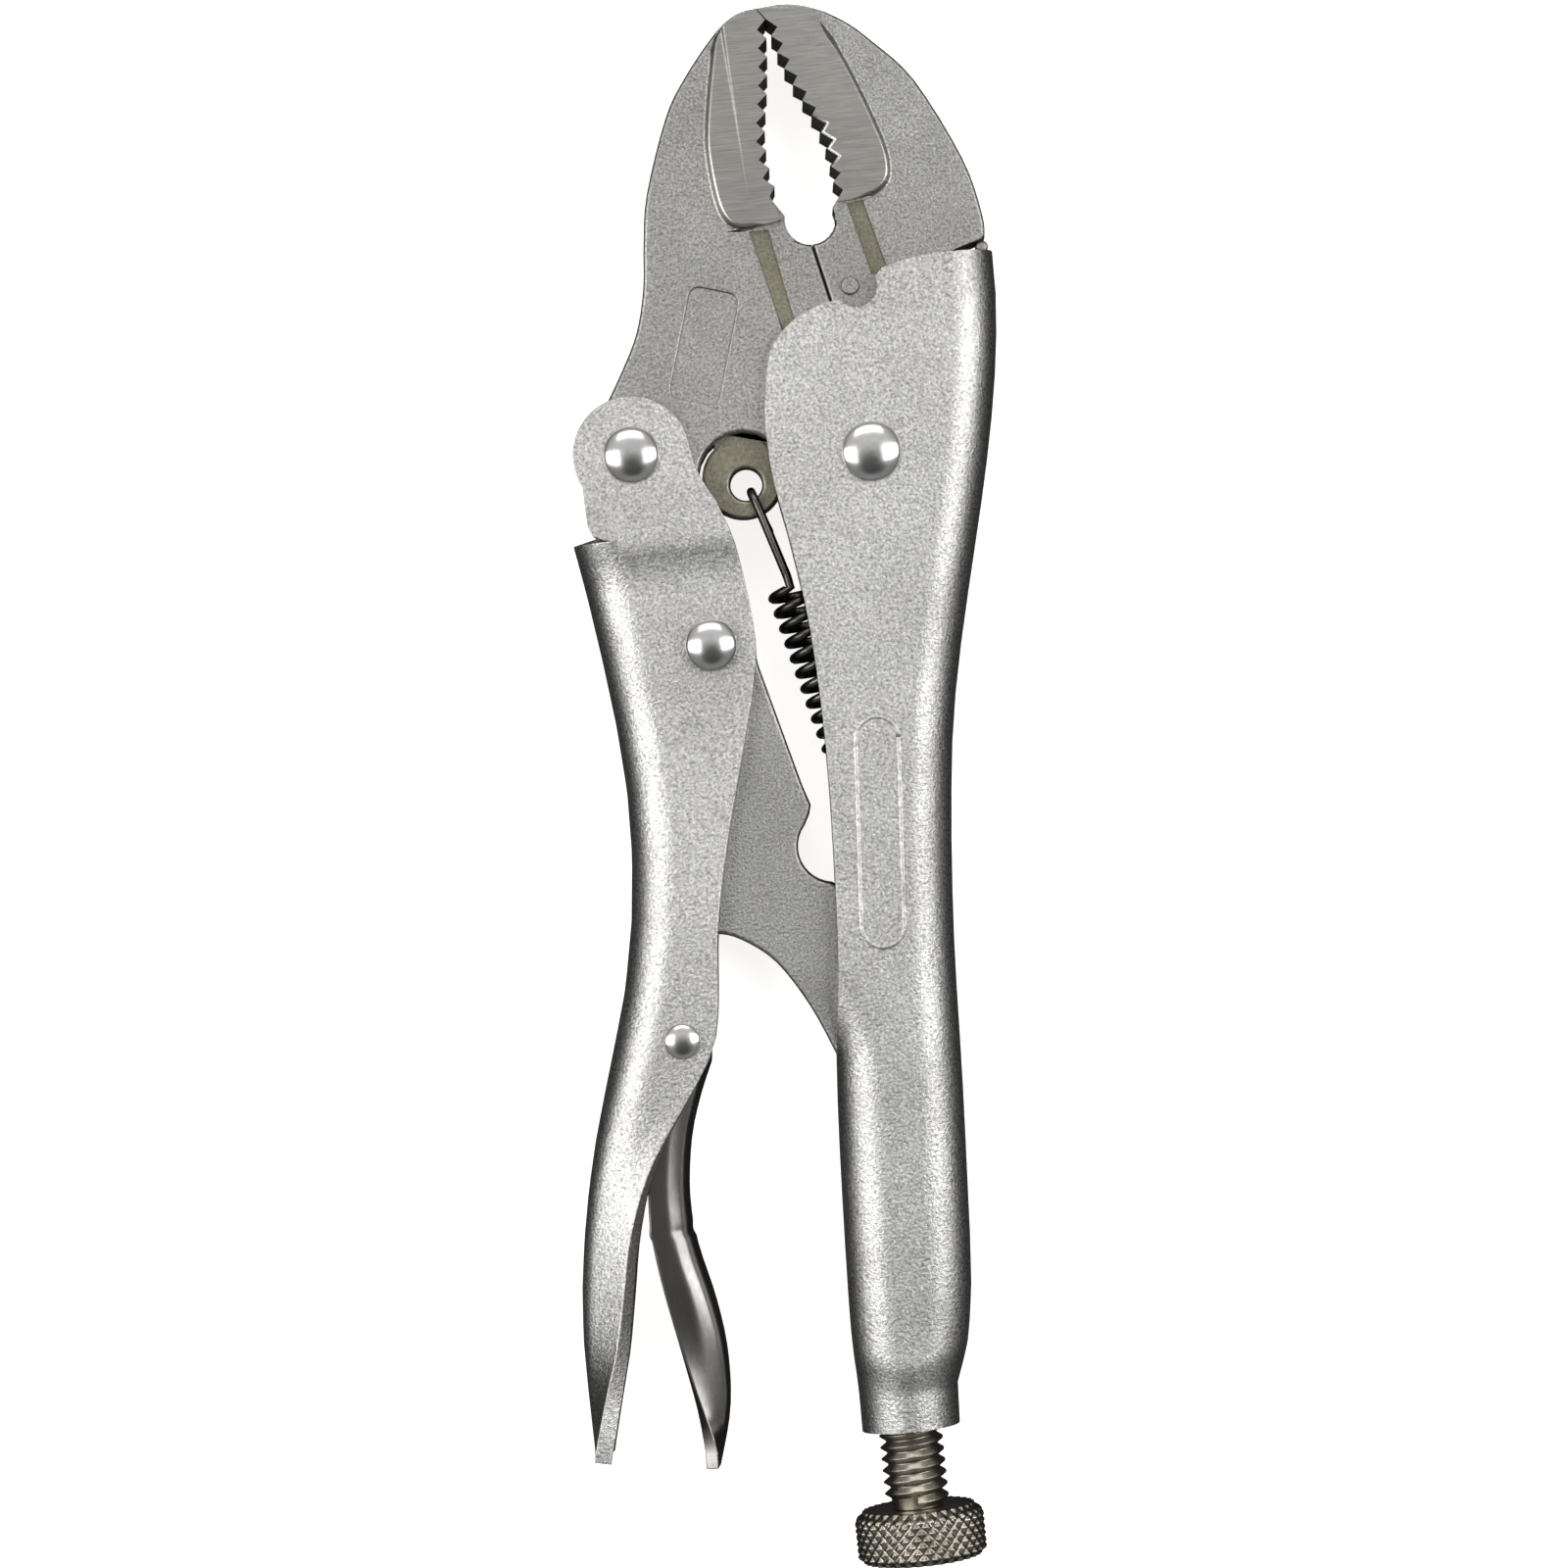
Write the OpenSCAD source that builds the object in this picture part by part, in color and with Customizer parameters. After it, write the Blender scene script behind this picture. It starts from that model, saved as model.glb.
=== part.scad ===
// Locking pliers with curved jaws, lying on one side, jaws shut and locked.
// The origin is under the jaw pivot. +Y runs along the adjusting screw
// towards the jaw tips, +X towards the back of the fixed handle, +Z up.

/* [Sheet steel] */
// Outside width of both folded handles
channel_w = 12.6; // [12.2:0.1:13]
// Thickness of the handle sheet
sheet_t = 2.1; // [1.8:0.1:2.2]
// Outside radius of the folded corners
fold_r = 5.5; // [4.8:0.1:5.8]
// Thickness of the release lever's sheet
trigger_t = 1.6; // [1.2:0.1:1.8]

/* [Jaws] */
// Width across the ground gripping faces
ground_w = 10.4; // [9.6:0.1:10.6]
// Play between the movable jaw and each cheek of the handles
jaw_play = 0.1; // [0.05:0.05:0.2]
// Number of teeth on the movable jaw
movable_teeth = 10; // [8:1:12]
// Number of teeth on the fixed jaw
fixed_teeth = 11; // [8:1:12]
// Depth of the teeth
tooth_depth = 1.1; // [0.8:0.1:1.3]
// Radius of the pivot boss on the movable jaw
boss_r = 8; // [7:0.5:8]

/* [Rivets] */
// Shank radius of the jaw rivet
jaw_rivet_r = 2.5; // [2:0.1:2.8]
// Shank radius of the lever rivet
lever_rivet_r = 2.4; // [2:0.1:2.6]
// Shank radius of the link rivet
link_rivet_r = 2.2; // [1.8:0.1:2.4]
// Shank radius of the release rivet
release_rivet_r = 1.5; // [1.2:0.1:1.7]
// Radial play of a part that turns on a rivet
pin_play = 0.05; // [0.03:0.01:0.08]

/* [Toggle link and spring] */
// Thickness of the link plate
link_t = 6.4; // [5.6:0.1:6.8]
// Mean radius of the spring coils
coil_r = 2.5; // [2.2:0.1:2.6]
// Diameter of the spring wire
wire_d = 1.1; // [0.9:0.05:1.2]
// Number of coils
coils = 16; // [12:1:18]

/* [Adjusting screw] */
// Outside radius of the 5/16 inch thread
thread_r = 3.9; // [3.7:0.1:3.9]
// Radius of the knurled head
knob_r = 8; // [7:0.5:8]
// Height of the knurled head
knob_h = 6.4; // [6:0.1:7]
// How far the screw stands backed out of the handle end
screw_out = 9.7; // [6:0.1:14]

/* [Hidden] */
$fn = 64;
mid_z = knob_r;                    // height of the mid-plane above the surface it rests on
half_w = channel_w/2;
inner_w = channel_w - 2*sheet_t;
jaw_w = inner_w - 2*jaw_play;
head_h = mid_z - half_w;           // the rivet heads reach as far as the knob
eps = 0.01;
past = 30;                         // reaches past every outline

lever_pin = [-29, 2.5];
link_pin = [-21.7, -21.4];
release_pin = [-30, -68.8];
ear_hole = [-15.5, -2.2];
ear_t = 3.5;
ear_centre = [-15.8, -1.4];
ear_r = 5;
mouth = [-4.5, 29];                // round for pipe at the root of the jaws
mouth_r = 3.1;
boss_gap = 0.3;
seam_mid = [-3, 19.1];             // bend of the seam between the two jaws
groove_depth = 0.4;
screw_x = -7.2;
handle_end = -118.9;
thread_top = -108;
tip_y = -79;                       // end of the screw, short of the link's nose
knob_y = handle_end - screw_out;
slot_end = -78;                    // below it the fixed handle is a closed tube
bore_over = 8;                     // the screw's bore starts this far above the slot's end
bore_len = slot_end + bore_over - handle_end + 1;
lever_end = -118.6;
web_top = -7.6;                    // above it the lever handle is two bare ears

// A smooth curve through the points p, with n steps between each two
function between(a, b, c, d, t) =
    0.5*(2*b + (c - a)*t + (2*a - 5*b + 4*c - d)*t*t + (3*b - a - 3*c + d)*t*t*t);
function curve(p, n = 4) = concat(
    [for (i = [0:len(p) - 2], k = [0:n - 1])
        between(p[max(i - 1, 0)], p[i], p[i + 1], p[min(i + 2, len(p) - 1)], k/n)],
    [p[len(p) - 1]]);
function arc(c, r, a0, a1, n = 12) =
    [for (k = [0:n]) c + r*[cos(a0 + (a1 - a0)*k/n), sin(a0 + (a1 - a0)*k/n)]];
function reversed(p) = [for (i = [len(p) - 1:-1:0]) p[i]];
function x_at(y, p) = lookup(y, [for (q = p) [q[1], q[0]]]);

// Outlines seen from +Z
handle_back = curve([[17.3, 23.2], [16.9, 13], [14.4, -1], [10.9, -15.2], [7.5, -29.3],
    [5.5, -43.6], [4.2, -60], [3.5, -77], [2.7, -92], [2.1, -101.5], [0.8, -109.5],
    [-0.8, -114], [-1.05, handle_end]]);
handle_lip = curve([[-12.5, 5], [-12.2, -2], [-10.9, -9.5], [-9.6, -20], [-9.1, -32.5],
    [-9.3, -45], [-10.2, -61], [-11.6, -73], [-12.4, -85], [-13.2, -104.5], [-13.1, -112],
    [-13.15, handle_end]]);
handle_shoulder = concat([[3.5, 22]], arc([0.1, 20.1], 2.6, 20, -145),
    curve([[-4.4, 18.3], [-8.4, 16.3], [-11.2, 12.6], [-12.5, 5]]));
lever_back = curve([[-37.3, web_top], [-36.1, -15.2], [-34.4, -29], [-33.8, -40],
    [-34.4, -50.4], [-36.2, -61], [-39, -70.4], [-41.9, -80], [-44.1, -89.5], [-45.6, -100],
    [-45.9, -108], [-45.8, lever_end]]);
lever_lip = curve([[-22.2, 4.6], [-21.2, -0.5], [-19.3, -4.1], [-17.4, -10.5],
    [-16.3, -20], [-16.9, -26], [-19.3, -35], [-22.3, -46], [-24.4, -56], [-25.5, -66.5],
    [-26.9, -71.2], [-30.2, -76.3], [-34.8, -83.6], [-37.6, -91.8], [-39.4, -101.2],
    [-41.8, -113], [-43.8, lever_end]]);

movable_crests = curve([[-7.55, 53.5], [-7.6, 50.5], [-8.1, 45.5], [-8.8, 41], [-9, 38],
    [-8.6, 34], [-7.6, 31]]);
fixed_crests = curve([[-7.35, 53.5], [-6.9, 51], [-5.6, 46.8], [-3.7, 42.6], [-2.1, 38.5],
    [-1.35, 34], [-1.3, 31]]);
tip = [-8.5, 55.1];
teeth_y0 = 53.5;
teeth_y1 = 31;

// Teeth from the tip downwards: side is -1 where the jaw is left of them, 1 where right
function teeth(crests, n, side) = [for (i = [0:n - 1], k = [0, 1])
    let (y = teeth_y0 + (teeth_y1 - teeth_y0)*(i + k/2)/n)
    [x_at(y, crests) + side*tooth_depth*k, y]];

module slab(p, w) translate([0, 0, mid_z - w/2]) linear_extrude(w) polygon(p);
module pin_hole(c, r) translate([c[0], c[1], -1]) cylinder(r = r, h = 2*mid_z + 2);

// One rounded-rectangle section across a handle, at height y, from x0 to x1
function ring(y, x0, x1, w, r0, r1) = [for (q =
    concat(arc([x1 - r1, w/2 - r1], r1, 0, 90, 5), arc([x0 + r0, w/2 - r0], r0, 90, 180, 5),
           arc([x0 + r0, r0 - w/2], r0, 180, 270, 5), arc([x1 - r1, r1 - w/2], r1, 270, 360, 5)))
    [q[0], y, mid_z + q[1]]];
module loft(rings) {
    n = len(rings[0]);
    m = len(rings);
    polyhedron(
        points = [for (r = rings) each r],
        faces = concat([[for (i = [0:n - 1]) i]], [[for (i = [n - 1:-1:0]) (m - 1)*n + i]],
            [for (k = [0:m - 2], i = [0:n - 1]) [k*n + i, (k + 1)*n + i, k*n + (i + 1)%n]],
            [for (k = [0:m - 2], i = [0:n - 1])
                [k*n + (i + 1)%n, (k + 1)*n + i, (k + 1)*n + (i + 1)%n]]),
        convexity = 4);
}

// Stations down the handles, from the jaws to the tails
handle_steps = [24, 18, 11, 4, -4, -12, -20, -28, -36, -44, -52, -60, -66, -72, slot_end,
    -84, -90, -96, -102, -106, -109, -111.5, -114, handle_end];
lever_steps = [10, web_top + 0.1, web_top, -14, -22, -30, -38, -46, -54, -62, -68, -74,
    -80, -86, -92, -98, -104, -110, -115, lever_end - 0.1];
curl = [[-62, 0], [slot_end, 1]];  // how far the lips have curled in towards a tube
swage = [[-108, 0], [-114, 1]];    // how far the tube is swaged to a round

module fixed_handle_outside() loft([for (y = handle_steps)
    let (c = lookup(y, curl), s = lookup(y, swage),
         x0 = x_at(y, handle_lip), x1 = x_at(y, handle_back),
         w = channel_w*(1 - s) + (x1 - x0)*s)
    ring(y, x0 - (1 - c)*past, x1, w,
         max(0.3, c*fold_r*(1 - s) + s*0.499*w), fold_r*(1 - s) + s*0.499*w)]);
module fixed_handle_inside() loft([for (y = handle_steps) if (y > thread_top)
    let (tube = y <= slot_end)
    ring(y, tube ? x_at(y, handle_lip) + sheet_t : -past, x_at(y, handle_back) - sheet_t,
         inner_w, tube ? fold_r - sheet_t : 0.3, fold_r - sheet_t)]);

module fixed_handle() color("silver") {
    difference() {
        intersection() {
            slab(concat([[past, 23.2], [10.2, 23.2], [6.3, 22.7]], handle_shoulder,
                [for (q = handle_lip) if (q[1] < 4.5 && q[1] > slot_end + 0.5) q],
                [[x_at(slot_end, handle_lip), slot_end], [-past, slot_end - eps],
                 [-past, handle_end - 1], [past, handle_end - 1]]),
                channel_w + 1);
            fixed_handle_outside();
        }
        fixed_handle_inside();
        pin_hole([0, 0], jaw_rivet_r);
        // tapped through the round end, and clear of the screw up to the slot
        on_screw(slot_end + bore_over) cylinder(r = thread_r + pin_play, h = bore_len);
    }
    // spring tang, lanced inwards from the back
    translate([-4, -51.9, mid_z - 1]) cube([x_at(-51, handle_back) - sheet_t + 4.3, 1.8, 2]);
}

// Two shallow grooves that the cutter leaves beside the mouth, one on each side of the jaw
module cutter_grooves(p, w) for (side = [0, 1]) translate([0, 0, mid_z]) mirror([0, 0, side])
    translate([0, 0, w/2 - groove_depth]) linear_extrude(1) polygon(p);

module fixed_jaw() color("lightgray") {
    difference() {
        slab(concat([tip], teeth(fixed_crests, fixed_teeth, 1),
            reversed(arc(mouth, mouth_r, -90, 22, 8)), [seam_mid],
            reversed(arc([0, 0], boss_r + boss_gap, 15, 96)),
            curve([[10.3, 4], [11.3, 13], [11.5, 23.2]]),
            curve([[16.4, 24.6], [16.4, 27.5], [14.7, 34.5], [9.8, 44.6], [5.1, 49.9],
                   [1.9, 52.7], [-1.6, 54.5], [-5, 55.3], tip])), inner_w);
        cutter_grooves([[0.1, 30.4], [2.2, 21.6], [4.3, 22], [2.1, 30.7]], inner_w);
    }
    slab(concat([tip - [0, 0.1]], teeth(fixed_crests, fixed_teeth, 1),
        curve([[-1, 30.7], [2.6, 31], [5.2, 32.6], [5.6, 35.5], [4.5, 39.8], [1.6, 47.6],
               [-1.1, 53], [-1.8, 54.4]])), ground_w);
    // witness boss of the forging, in the notch of the handle
    translate([-0.5, 20.4, mid_z]) cylinder(r = 1.1, h = jaw_w/2 + 0.6);
}

module jaw_weld() color("gray")
    slab([[11.5, 23.2], [17, 23.2], [16.9, 24.2], [16.4, 24.6]], inner_w);

panel_half = [3, 6.9];
panel_corner = 1.2;
panel = [for (q = [[1, 1, 0], [-1, 1, 90], [-1, -1, 180], [1, -1, 270]])
    each arc([q[0]*(panel_half[0] - panel_corner), q[1]*(panel_half[1] - panel_corner)],
             panel_corner, q[2], q[2] + 90, 4)];

module movable_jaw() color("lightgray") {
    play = [-0.12, 0];
    difference() {
        union() {
            slab(concat([tip + play], teeth(movable_crests, movable_teeth, -1),
                arc(mouth, mouth_r, 168, 268, 8),
                [mouth - [0, mouth_r] + play, seam_mid + play, [-0.99, 8.1] + play],
                reversed(arc([0, 0], boss_r, -145, 96, 24)),
                arc(ear_centre, ear_r + 0.5, -20, 190),
                reversed(arc(lever_pin, 6.3, 140, 290)),
                curve([[-31.4, 9.2], [-29.3, 12.7], [-27, 17.2], [-25.6, 22.5], [-25, 28],
                       [-24, 34], [-20.8, 43], [-18.1, 47.5], [-14.6, 51.8], [-12.2, 54],
                       [-10.3, 54.9], tip + play])), jaw_w);
            slab(concat([tip + play - [0, 0.1]], teeth(movable_crests, movable_teeth, -1),
                curve([[-8, 29.2], [-10.8, 28.7], [-13.8, 29], [-15.4, 31.5], [-16.1, 37.5],
                       [-15.8, 42], [-14.4, 49.6], [-13.6, 52.3], [-12.2, 53.6]])), ground_w);
            translate([ear_centre[0], ear_centre[1], mid_z - ear_t/2]) cylinder(r = ear_r, h = ear_t);
            slab([[-19, 2], [-12, 2], [-12, 6], [-19, 6]], ear_t);
        }
        pin_hole([0, 0], jaw_rivet_r + pin_play);
        pin_hole(lever_pin, lever_rivet_r + pin_play);
        pin_hole(ear_hole, 1.95);
        // blank recessed panels, one on each side
        for (side = [0, 1]) translate([-18.9, 14.9, mid_z]) mirror([0, 0, side]) rotate(-17)
            translate([0, 0, jaw_w/2 - 0.3]) linear_extrude(1) polygon(panel);
        cutter_grooves([[-12.1, 28.2], [-8.8, 14.6], [-7.2, 14.8], [-9.7, 28.2]], jaw_w);
    }
}

// The ears above the web have no folded back, so there the loft reaches past them
module lever_outside() loft([for (y = lever_steps)
    ring(y, y > web_top ? -2*past : x_at(y, lever_back), past, channel_w, fold_r, 0.3)]);
module lever_inside() loft([for (y = lever_steps) if (y > -116)
    ring(y, y > web_top ? -2*past : x_at(y, lever_back) + sheet_t, past, inner_w,
         fold_r - sheet_t, 0.3)]);

module lever_handle() color("silver") difference() {
    intersection() {
        slab(concat(arc(lever_pin, 7.1, 22, 208, 24), [[-35.2, -4], [-35.2, -6], [-36.2, -7.2]],
            [[-37.4, web_top], [-2*past, web_top - past], [-2*past, lever_end]],
            reversed(lever_lip)), channel_w + 1);
        lever_outside();
    }
    lever_inside();
    pin_hole(lever_pin, lever_rivet_r);
    pin_hole(link_pin, link_rivet_r);
    pin_hole(release_pin, release_rivet_r);
}

module toggle_link() color("darkgray") difference() {
    slab(concat(arc(link_pin, 5, 200, 20),
        [[-16.2, -24.5], [-12.4, -39.4], [-11.6, -41.9], [-11.9, -43]],
        arc([-9.3, -47.2], 4.4, 138, 262),
        curve([[-8, -53.2], [-5.4, -57], [-4.2, -63], [-3.9, -70], [-4, -73.5]]),
        reversed(arc([screw_x, -73.5], 3.2, 195, 360)),
        curve([[-11.6, -72.4], [-14.1, -66.4], [-17.7, -60.6], [-21.7, -57.4], [-24.8, -56.4],
               [-27.8, -56.8], [-30.2, -55], [-30.6, -51], [-29.2, -41], [-27.4, -31]])), link_t);
    pin_hole(link_pin, link_rivet_r + pin_play);
}

trigger_back = curve([[-26.9, -67], [-26.6, -71.2], [-28.2, -75], [-30.1, -80.7],
    [-31.1, -87.8], [-30.7, -93.8], [-29.2, -100.6], [-28.4, -107.2], [-28.8, -114.4],
    [-30.7, -121.2]]);
trigger_lip = curve([[-32.5, -121.2], [-32.7, -115.2], [-33.9, -107.8], [-35.3, -99.9],
    [-36.3, -91], [-35.6, -83], [-34.1, -76], [-33.2, -69]]);
trigger_w = inner_w - 0.6;
module release_outline(shift) polygon([for (q = concat(
    curve([[-31.6, -62.4], [-30.3, -60.6], [-28.9, -61], [-27.5, -63.6], [-26.9, -67]]),
    trigger_back, trigger_lip)) q + [shift, 0]]);
module release_lever() color("gray") difference() {
    translate([0, 0, mid_z - trigger_w/2]) linear_extrude(trigger_w) release_outline(0);
    translate([0, 0, mid_z - trigger_w/2 + trigger_t]) linear_extrude(trigger_w - 2*trigger_t)
        release_outline(-trigger_t);
    pin_hole(release_pin, release_rivet_r + pin_play);
}

// A solid rivet with a low domed head on each side
module rivet(c, shank_r, head_r, head_h) color("white") translate([c[0], c[1], mid_z]) {
    ball_r = (head_r*head_r + head_h*head_h)/(2*head_h) - 0.25;
    cylinder(r = shank_r, h = channel_w, center = true);
    for (side = [0, 1]) mirror([0, 0, side]) intersection() {
        translate([0, 0, half_w]) cylinder(r = head_r, h = head_h);
        translate([0, 0, half_w + head_h + 0.12 - ball_r]) sphere(r = ball_r, $fn = 96);
    }
}
module jaw_rivet() rivet([0, 0], jaw_rivet_r, 3.65, head_h);
module lever_rivet() rivet(lever_pin, lever_rivet_r, 3.45, head_h);
module link_rivet() rivet(link_pin, link_rivet_r, 3.2, head_h);
module release_rivet() rivet(release_pin, release_rivet_r, 2.25, 1.2);

// Extension spring: a hook through the ear of the movable jaw, close coils, and a loop on the tang
coil_top = [-11.4, -15.3];
coil_tilt = 13.7;
coil_pitch = 1.95;
coil_down = [sin(coil_tilt), -cos(coil_tilt)];
coil_side = [cos(coil_tilt), sin(coil_tilt)];
function coil_point(along, turn, r) = let (c = coil_top + coil_down*along + coil_side*r*cos(turn))
    [c[0], c[1], mid_z + r*sin(turn)];
spring_hook = curve([[-13.2, -8.2, mid_z - 2.6], [-14.3, -5.2, mid_z - 2.6],
    [-14.9, -3.4, mid_z - 2], [-15, -3.05, mid_z], [-14.9, -3.5, mid_z + 2],
    [-14.2, -5.6, mid_z + 2.6], [-12.4, -11.5, mid_z + 2.4], [-11.7, -13.8, mid_z + 2.3]], 3);
spring_coils = [for (k = [0:coils*12]) coil_point(k*coil_pitch/12, 90 + k*30, coil_r)];
loop_y = -50.05;
loop_r = 2.72;
spring_tail = curve([[-3.6, -46.6, mid_z + 2.2], [-2, -47.9, mid_z + 1.2]], 2);
spring_loop = [for (k = [0:10]) let (turn = 20 + 32*k)
    [-1.6 + 0.04*k, loop_y + loop_r*cos(turn), mid_z + loop_r*sin(turn)]];
module return_spring() color("dimgray")
    wire(concat(spring_hook, spring_coils, spring_tail, spring_loop));

function unit(v) = v/norm(v);
// Frames carried along the wire without twisting, so that its sides don't cross
function carried(p, i, u) =
    let (t = unit(p[min(i + 1, len(p) - 1)] - p[max(i - 1, 0)]), v = unit(u - t*(u*t)))
    concat([[v, cross(t, v)]], i == len(p) - 1 ? [] : carried(p, i + 1, v));
module wire(p, sides = 6) {
    f = carried(p, 0, [0.3, 0.2, 1]);
    loft([for (i = [0:len(p) - 1]) [for (s = [0:sides - 1])
        p[i] + wire_d/2*(f[i][0]*cos(s*360/sides) + f[i][1]*sin(s*360/sides))]]);
}

module on_screw(y) translate([screw_x, y, mid_z]) rotate([90, 0, 0]) children();
module screw_shank() color("darkkhaki") {
    on_screw(tip_y) cylinder(r1 = thread_r - 0.8, r2 = thread_r, h = 1);
    on_screw(tip_y - 1) cylinder(r = thread_r, h = tip_y - 1 - knob_y);
}
module screw_knob() color("darkkhaki") on_screw(knob_y) {
    cylinder(r1 = knob_r - 0.7, r2 = knob_r, h = 0.7);
    translate([0, 0, 0.7]) cylinder(r = knob_r, h = knob_h - 2);
    translate([0, 0, knob_h - 1.3]) cylinder(r1 = knob_r, r2 = knob_r - 1.3, h = 1.3);
}

fixed_handle();
fixed_jaw();
jaw_weld();
jaw_rivet();
movable_jaw();
lever_rivet();
lever_handle();
toggle_link();
link_rivet();
release_lever();
release_rivet();
return_spring();
screw_shank();
screw_knob();
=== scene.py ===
import math

import bmesh
import bpy
from mathutils import Matrix, Vector
from mathutils.bvhtree import BVHTree


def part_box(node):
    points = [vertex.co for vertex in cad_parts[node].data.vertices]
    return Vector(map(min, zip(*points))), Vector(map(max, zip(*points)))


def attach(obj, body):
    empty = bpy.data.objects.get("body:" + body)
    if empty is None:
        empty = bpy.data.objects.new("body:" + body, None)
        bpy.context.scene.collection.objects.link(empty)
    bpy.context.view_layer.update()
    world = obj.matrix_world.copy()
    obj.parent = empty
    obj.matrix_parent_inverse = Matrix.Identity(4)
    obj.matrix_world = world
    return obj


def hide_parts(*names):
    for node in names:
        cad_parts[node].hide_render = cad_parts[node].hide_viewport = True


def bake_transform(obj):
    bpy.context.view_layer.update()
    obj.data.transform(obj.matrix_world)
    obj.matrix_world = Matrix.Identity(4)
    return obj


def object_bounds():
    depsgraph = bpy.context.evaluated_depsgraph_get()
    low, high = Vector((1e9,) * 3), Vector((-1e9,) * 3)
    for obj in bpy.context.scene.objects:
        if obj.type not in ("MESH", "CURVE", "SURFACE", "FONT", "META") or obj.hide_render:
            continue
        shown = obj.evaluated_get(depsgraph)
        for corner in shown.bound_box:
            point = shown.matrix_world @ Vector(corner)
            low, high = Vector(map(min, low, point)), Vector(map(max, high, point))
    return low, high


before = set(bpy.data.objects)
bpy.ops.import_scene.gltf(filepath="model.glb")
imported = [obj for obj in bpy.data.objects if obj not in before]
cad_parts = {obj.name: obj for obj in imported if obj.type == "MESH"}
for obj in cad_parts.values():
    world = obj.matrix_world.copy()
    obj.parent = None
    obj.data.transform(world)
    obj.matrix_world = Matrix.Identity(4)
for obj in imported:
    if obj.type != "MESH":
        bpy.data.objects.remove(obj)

cad_low, cad_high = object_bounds()

# The table. The pliers lie on the milky sheet of a light table and the camera looks straight down.
# Three soft boxes hang to the left, to the right and beyond the jaws, where the ceiling is palest.
MM = 0.001                    # every size below is in millimetres, and the scene is in metres
CAMERA_HEIGHT = 600
VIEW_WIDTH = 192              # what the camera takes in at the middle of the pliers
CAMERA_TURN = -5.8            # degrees, which lays the handles aslant
VIEW_SHIFT = (-0.3, 0.8, 0)   # from the middle of the pliers to the middle of the view
BOARD_SIZE = 3000
PALE_BOARD = "F4F3F0"
BOARD_GLOW = 0.95             # light from within the sheet, which all but clears the shadows
CEILING = "F2F2F4"
CEILING_GLOW = 0.72
SHADE_BELOW = "363638"        # the dark under the table, which steel that faces down mirrors
WALLS = 0.4                   # share of the ceiling's light that comes from the walls of the room
FAR_LEAN = 0.6                # how far the light leans to the side beyond the jaws
CEILING_REACH = (0.45, 1.15)  # height of a direction, with its lean, from the walls to the palest
HORIZON = (-0.12, 0.1)        # height of a direction from the dark below to the walls
HOOD = (0, -0.34, 0.94)       # direction of the dark hood, on the near side of the camera
HOOD_RIM = (0.87, 0.97)       # cosine of the angle to the hood at its rim and where it is darkest
HOOD_GLOW = 0.1


def linear(hex_colour):
    """An sRGB hex colour as linear red, green, blue and alpha"""
    shares = [int(hex_colour[i:i + 2], 16) / 255 for i in (0, 2, 4)]
    return [s / 12.92 if s <= 0.04045 else ((s + 0.055) / 1.055) ** 2.4 for s in shares] + [1.0]


def add(tree, kind, inputs=None, **settings):
    """One node, with its settings and with its inputs given as values or as other nodes' outputs"""
    node = tree.nodes.new(kind)
    for name, value in settings.items():
        setattr(node, name, value)
    for name, value in (inputs or {}).items():
        if isinstance(value, bpy.types.NodeSocket):
            tree.links.new(value, node.inputs[name])
        else:
            node.inputs[name].default_value = value
    return node


def put(name, data):
    """Links an object that holds data into the scene"""
    thing = bpy.data.objects.new(name, data)
    bpy.context.scene.collection.objects.link(thing)
    return thing


def soft_box(name, place, size, watts):
    """A rectangular light of size mm that stands at place and faces the pliers"""
    lamp = bpy.data.lights.new(name, "AREA")
    lamp.shape = "RECTANGLE"
    lamp.size, lamp.size_y = size[0] * MM, size[1] * MM
    lamp.energy = watts
    stand = put(name, lamp)
    stand.location = view_centre + Vector(place) * MM
    stand.rotation_euler = (view_centre - stand.location).to_track_quat("-Z", "Y").to_euler()


handle_low, handle_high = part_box("fixed_handle")
MID = (handle_low.z + handle_high.z) / 2 / MM
HALF = (handle_high.z - handle_low.z) / 2 / MM
view_centre = (cad_low + cad_high) / 2 + Vector(VIEW_SHIFT) * MM
view_centre.z = MID * MM

camera = put("camera", bpy.data.cameras.new("camera"))
camera.data.lens = camera.data.sensor_width * CAMERA_HEIGHT / VIEW_WIDTH
camera.location = view_centre + Vector((0, 0, CAMERA_HEIGHT * MM))
camera.rotation_euler = (0, 0, math.radians(CAMERA_TURN))
bpy.context.scene.camera = camera
bpy.context.scene.view_settings.view_transform = "Standard"

soft_box("left_box", (-540, 40, 520), (300, 700), 2.6)
soft_box("right_box", (520, 40, 560), (300, 700), 2.4)
soft_box("far_box", (0, 600, 540), (700, 360), 1.5)

# Milky plastic, matt and lit from below: an even pale ground with the faintest of shadows
board_material = bpy.data.materials.new("milky_sheet")
board_material.use_nodes = True
board_shader = board_material.node_tree.nodes["Principled BSDF"]
board_shader.inputs["Base Color"].default_value = linear(PALE_BOARD)
board_shader.inputs["Roughness"].default_value = 0.9
board_shader.inputs["Emission Color"].default_value = linear(PALE_BOARD)
board_shader.inputs["Emission Strength"].default_value = BOARD_GLOW
board_mesh = bpy.data.meshes.new("board")
board_mesh.from_pydata([(x * BOARD_SIZE * MM / 2, y * BOARD_SIZE * MM / 2, 0)
                        for x, y in ((-1, -1), (1, -1), (1, 1), (-1, 1))], [], [(0, 1, 2, 3)])
board_mesh.materials.append(board_material)
board = put("board", board_mesh)
board.visible_glossy = False   # so that turned-away steel mirrors the dark below, as on a light table

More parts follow.
